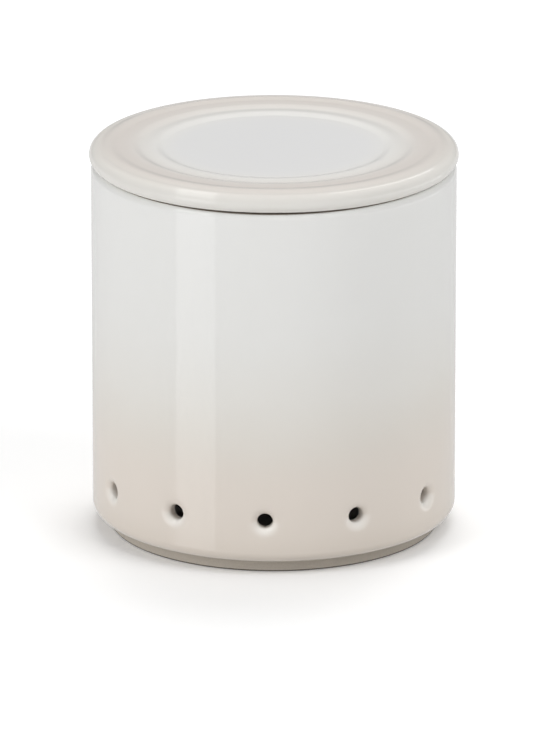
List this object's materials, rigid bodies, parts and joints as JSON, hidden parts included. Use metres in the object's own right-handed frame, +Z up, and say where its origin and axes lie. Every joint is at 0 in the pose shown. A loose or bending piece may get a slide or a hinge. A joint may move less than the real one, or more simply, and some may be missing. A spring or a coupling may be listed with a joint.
{
  "type": "garlic keeper",
  "caption": "Round glazed stoneware jar with a ring of vent holes near its base and a loose, ring-topped lid, for keeping garlic dry and aired.",
  "frame": {"origin": "centre of the foot's flat resting face, on the jar's axis", "axes": "+Z up along the jar's axis; -Y is the front and passes through the middle of one vent hole"},
  "size_m": [0.1198, 0.1198, 0.1286],
  "materials": {
    "jar_glaze": "gloss",
    "lid_glaze": "gloss"
  },
  "bodies": {
    "jar": {"jar": "jar_glaze"},
    "lid": {"lid": "lid_glaze"}
  },
  "joints": [
    {"name": "lid_lift", "type": "slide", "parent": "jar", "child": "lid", "axis": [0, 0, 1], "range_m": [0, 0.06]}
  ]
}
